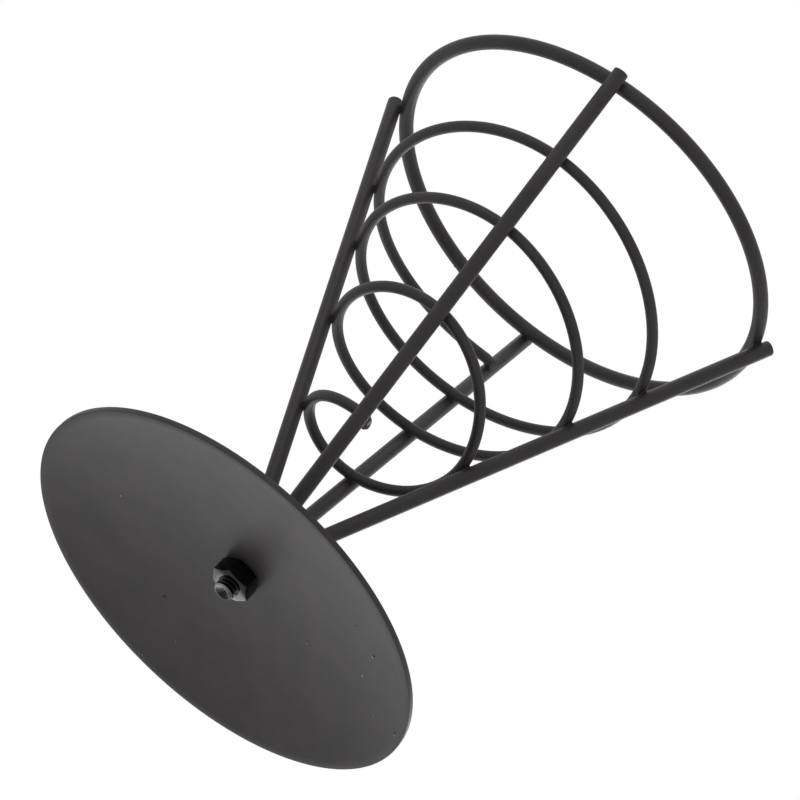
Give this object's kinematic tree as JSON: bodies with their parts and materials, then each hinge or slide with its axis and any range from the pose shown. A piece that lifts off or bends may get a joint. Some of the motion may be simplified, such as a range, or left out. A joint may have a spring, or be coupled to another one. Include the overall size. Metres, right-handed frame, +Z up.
{
  "type": "wire cone basket",
  "caption": "Upright wire cone basket on a dished round base: straight ribs, a ring at the mouth and a spiral wire inside, held by a nut and stud under the base.",
  "frame": {"origin": "middle of the circle that the base's rim stands on, at table height", "axes": "+Z up the cone's axis from the base to the mouth; the front rib is at -Y and the right rib at +X"},
  "size_m": [0.1402, 0.14, 0.1742],
  "materials": {
    "powder_coat": "satin black powder coat",
    "nut_black": "gloss black"
  },
  "bodies": {
    "root": {"base_plate": "powder_coat", "centre_stud": "powder_coat", "fixing_nut": "nut_black", "rib_front": "powder_coat", "rib_right": "powder_coat", "rib_rear": "powder_coat", "rib_left": "powder_coat", "top_ring": "powder_coat", "spiral_wire": "powder_coat"}
  },
  "joints": []
}
